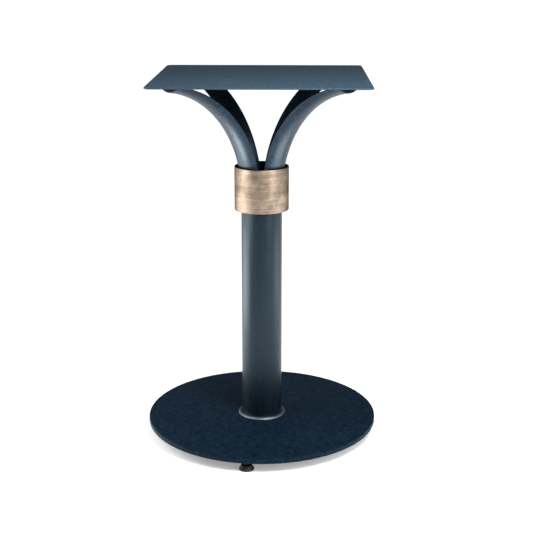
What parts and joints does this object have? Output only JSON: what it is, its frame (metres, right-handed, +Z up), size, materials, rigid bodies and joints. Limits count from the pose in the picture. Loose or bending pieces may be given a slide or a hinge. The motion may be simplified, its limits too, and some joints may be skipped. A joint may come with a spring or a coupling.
{
  "type": "table base",
  "caption": "Pedestal table base: round floor plate, round column, brass collar, flared arms and a square plate for the table top; screw-adjusted levelling feet.",
  "frame": {"origin": "on the floor, on the column's axis, at the centre of the object's footprint", "axes": "+Z up along the column; X and Y run along the sides of the square top plate, -Y is the front"},
  "size_m": [0.46, 0.46, 0.715],
  "materials": {
    "floor_plate_coat": "dark blue-black fine-textured powder coat",
    "column_coat": "dark blue-black fine-textured powder coat",
    "arm_coat": "dark blue-black fine-textured powder coat",
    "top_plate_coat": "dark blue-black fine-textured powder coat",
    "foot_ring_coat": "satin steel, darkened",
    "collar_brass": "brushed antique brass, lacquered",
    "bare_steel": "plain machined steel",
    "zinc_plate": "bright zinc plate",
    "black_steel": "blackened steel, lightly oiled",
    "nylon": "black nylon",
    "pad_plastic": "moulded black plastic"
  },
  "bodies": {
    "base": {"base_plate": "floor_plate_coat", "column_tube": "column_coat", "column_foot_disc": "bare_steel", "foot_ring": "foot_ring_coat", "base_washer_1": "zinc_plate", "base_washer_2": "zinc_plate", "base_washer_3": "zinc_plate", "base_washer_4": "zinc_plate", "base_bolt_1": "zinc_plate", "base_bolt_2": "zinc_plate", "base_bolt_3": "zinc_plate", "base_bolt_4": "zinc_plate", "arm_front_left": "arm_coat", "arm_front_right": "arm_coat", "arm_rear_right": "arm_coat", "arm_rear_left": "arm_coat", "arm_sleeve": "bare_steel", "collar": "collar_brass", "collar_lower_ring": "nylon", "collar_upper_ring": "nylon", "collar_screw": "zinc_plate", "top_plate": "top_plate_coat", "foot_1_nut": "black_steel", "foot_2_nut": "black_steel", "foot_3_nut": "black_steel", "foot_4_nut": "black_steel"},
    "foot_1_pad": {"foot_1_pad": "pad_plastic"},
    "foot_1_stud": {"foot_1_stud": "black_steel"},
    "foot_2_pad": {"foot_2_pad": "pad_plastic"},
    "foot_2_stud": {"foot_2_stud": "black_steel"},
    "foot_3_pad": {"foot_3_pad": "pad_plastic"},
    "foot_3_stud": {"foot_3_stud": "black_steel"},
    "foot_4_pad": {"foot_4_pad": "pad_plastic"},
    "foot_4_stud": {"foot_4_stud": "black_steel"}
  },
  "joints": [
    {"name": "foot_1_lift", "type": "slide", "parent": "base", "child": "foot_1_pad", "axis": [0, 0, 1], "range_m": [-0.006, 0]},
    {"name": "foot_1_turn", "type": "hinge", "parent": "foot_1_pad", "child": "foot_1_stud", "pos_m": [-0.02343, -0.20567, 0.01], "axis": [0, 0, 1], "range_deg": [-1725, 0]},
    {"name": "foot_2_lift", "type": "slide", "parent": "base", "child": "foot_2_pad", "axis": [0, 0, 1], "range_m": [-0.006, 0]},
    {"name": "foot_2_turn", "type": "hinge", "parent": "foot_2_pad", "child": "foot_2_stud", "pos_m": [0.20567, -0.02343, 0.01], "axis": [0, 0, 1], "range_deg": [-1725, 0]},
    {"name": "foot_3_lift", "type": "slide", "parent": "base", "child": "foot_3_pad", "axis": [0, 0, 1], "range_m": [-0.006, 0]},
    {"name": "foot_3_turn", "type": "hinge", "parent": "foot_3_pad", "child": "foot_3_stud", "pos_m": [0.02343, 0.20567, 0.01], "axis": [0, 0, 1], "range_deg": [-1725, 0]},
    {"name": "foot_4_lift", "type": "slide", "parent": "base", "child": "foot_4_pad", "axis": [0, 0, 1], "range_m": [-0.006, 0]},
    {"name": "foot_4_turn", "type": "hinge", "parent": "foot_4_pad", "child": "foot_4_stud", "pos_m": [-0.20567, 0.02343, 0.01], "axis": [0, 0, 1], "range_deg": [-1725, 0]}
  ],
  "couplings": [
    {"joint": "foot_1_lift", "follows": "foot_1_turn", "m_per_rad": 0.00019894},
    {"joint": "foot_2_lift", "follows": "foot_2_turn", "m_per_rad": 0.00019894},
    {"joint": "foot_3_lift", "follows": "foot_3_turn", "m_per_rad": 0.00019894},
    {"joint": "foot_4_lift", "follows": "foot_4_turn", "m_per_rad": 0.00019894}
  ]
}
